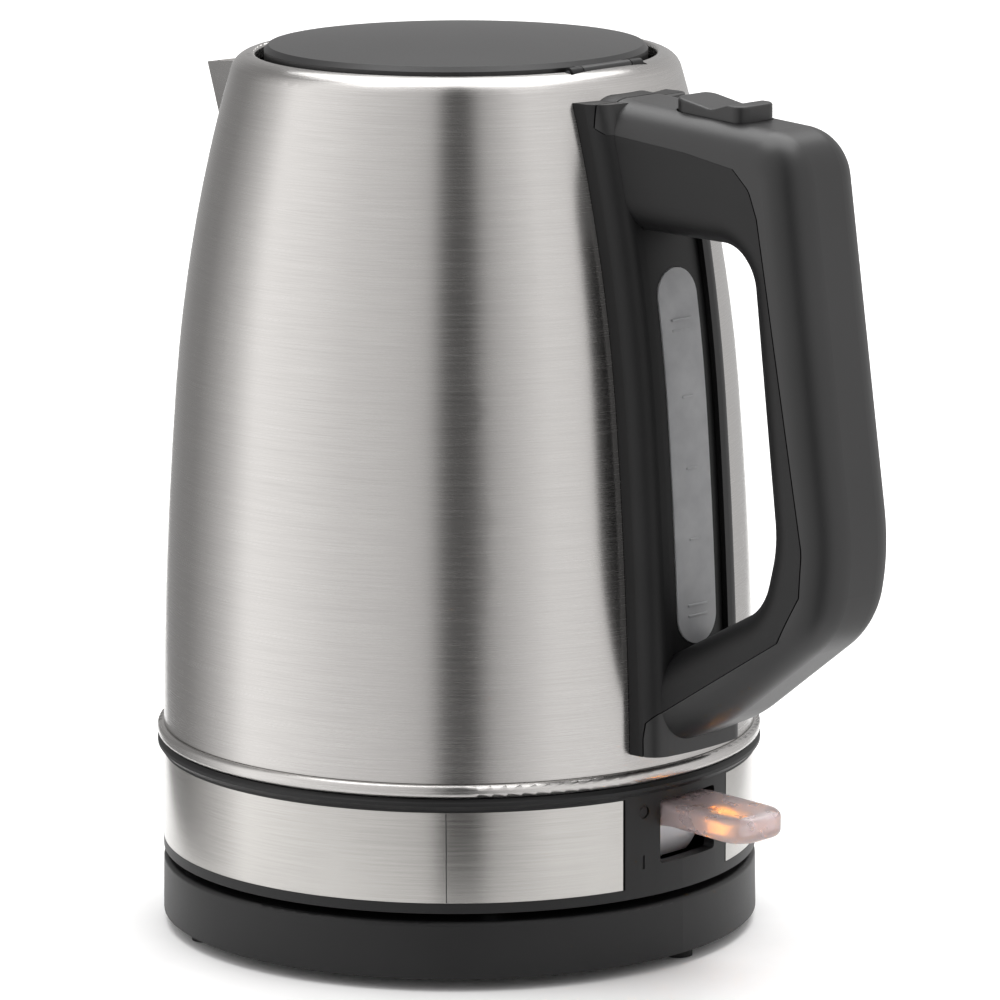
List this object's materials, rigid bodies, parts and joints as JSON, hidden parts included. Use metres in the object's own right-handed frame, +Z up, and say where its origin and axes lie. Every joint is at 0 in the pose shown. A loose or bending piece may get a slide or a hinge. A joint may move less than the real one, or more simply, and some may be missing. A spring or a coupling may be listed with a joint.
{
  "type": "electric kettle",
  "caption": "Cordless steel jug kettle on a power base, with a hinged lid, thumb release, loop handle, water gauge and rocker switch.",
  "frame": {"origin": "on the jug's axis, at the underside of the rubber feet", "axes": "+Z up along the jug's axis, +X towards the handle, -X towards the spout"},
  "size_m": [0.2175, 0.152, 0.2241],
  "materials": {
    "brushed_steel": "fine vertical brushing, soft sheen",
    "band_steel": "fine horizontal brushing",
    "sheet_steel": "plain mill finish",
    "screw_steel": "bright plated",
    "spring_steel": "drawn wire",
    "element_sheath": "dull oxidised sheath",
    "aluminium": "cast plate",
    "brass": "plain contact metal",
    "black_plastic": "fine matte grain",
    "satin_plastic": "satin moulded",
    "white_plastic": "natural moulded",
    "grey_plastic": "natural moulded",
    "rubber": "matte",
    "silicone": "matte",
    "frosted_plastic": "frosted translucent",
    "lever_plastic": "clear tinted",
    "lamp_glass": "clear bulb",
    "electrode": "plain wire"
  },
  "bodies": {
    "base": {"base_connector": "black_plastic", "base_contacts": "brass", "base_floor_plate": "black_plastic", "base_screws": "screw_steel", "base_top_shell": "black_plastic", "cord_gland": "rubber", "rubber_feet": "rubber", "terminal_block": "white_plastic"},
    "jug": {"body_shell": "brushed_steel", "button_spring": "spring_steel", "collar": "black_plastic", "control_studs": "screw_steel", "floor_plate": "brushed_steel", "gauge_seal": "silicone", "handle_cover": "satin_plastic", "handle_frame": "black_plastic", "handle_screws": "screw_steel", "heat_spreader": "aluminium", "heating_element": "element_sheath", "hinge_bracket": "black_plastic", "jug_socket": "black_plastic", "lever_bracket": "white_plastic", "lever_pin": "screw_steel", "lever_spring": "spring_steel", "lid_hinge_pin": "spring_steel", "lid_spring": "spring_steel", "screw_seals": "silicone", "skirt_floor": "black_plastic", "skirt_frame": "black_plastic", "skirt_screws": "screw_steel", "socket_contacts": "brass", "spout": "brushed_steel", "spout_filter": "black_plastic", "steam_pipe": "sheet_steel", "steam_switch": "white_plastic", "steel_band": "band_steel", "water_gauge": "frosted_plastic"},
    "lid": {"lid_cover": "satin_plastic", "lid_liner": "black_plastic", "lid_screws": "screw_steel"},
    "button": {"lid_button": "satin_plastic"},
    "slide": {"release_slide": "white_plastic"},
    "lever": {"indicator_lamp": "lamp_glass", "lamp_electrodes": "electrode", "lever_shield": "grey_plastic", "switch_lever": "lever_plastic"}
  },
  "joints": [
    {"name": "jug_lift", "type": "slide", "parent": "base", "child": "jug", "axis": [0, 0, 1], "range_m": [0, 0.04]},
    {"name": "lid_hinge", "type": "hinge", "parent": "jug", "child": "lid", "pos_m": [0.049, 0, 0.2194], "axis": [0, 1, 0], "range_deg": [0, 75]},
    {"name": "button_press", "type": "slide", "parent": "jug", "child": "button", "axis": [0, 0, -1], "range_m": [0, 0.003], "stiffness_N_per_m": 600, "deforming": ["button_spring"]},
    {"name": "latch_slide", "type": "slide", "parent": "jug", "child": "slide", "axis": [1, 0, 0], "range_m": [0, 0.003]},
    {"name": "lever_rock", "type": "hinge", "parent": "jug", "child": "lever", "pos_m": [0.05, 0.0026, 0.0382], "axis": [0, 1, 0], "range_deg": [0, 12], "deforming": ["lever_spring"]}
  ],
  "couplings": [
    {"joint": "latch_slide", "follows": "button_press", "ratio": 1}
  ]
}
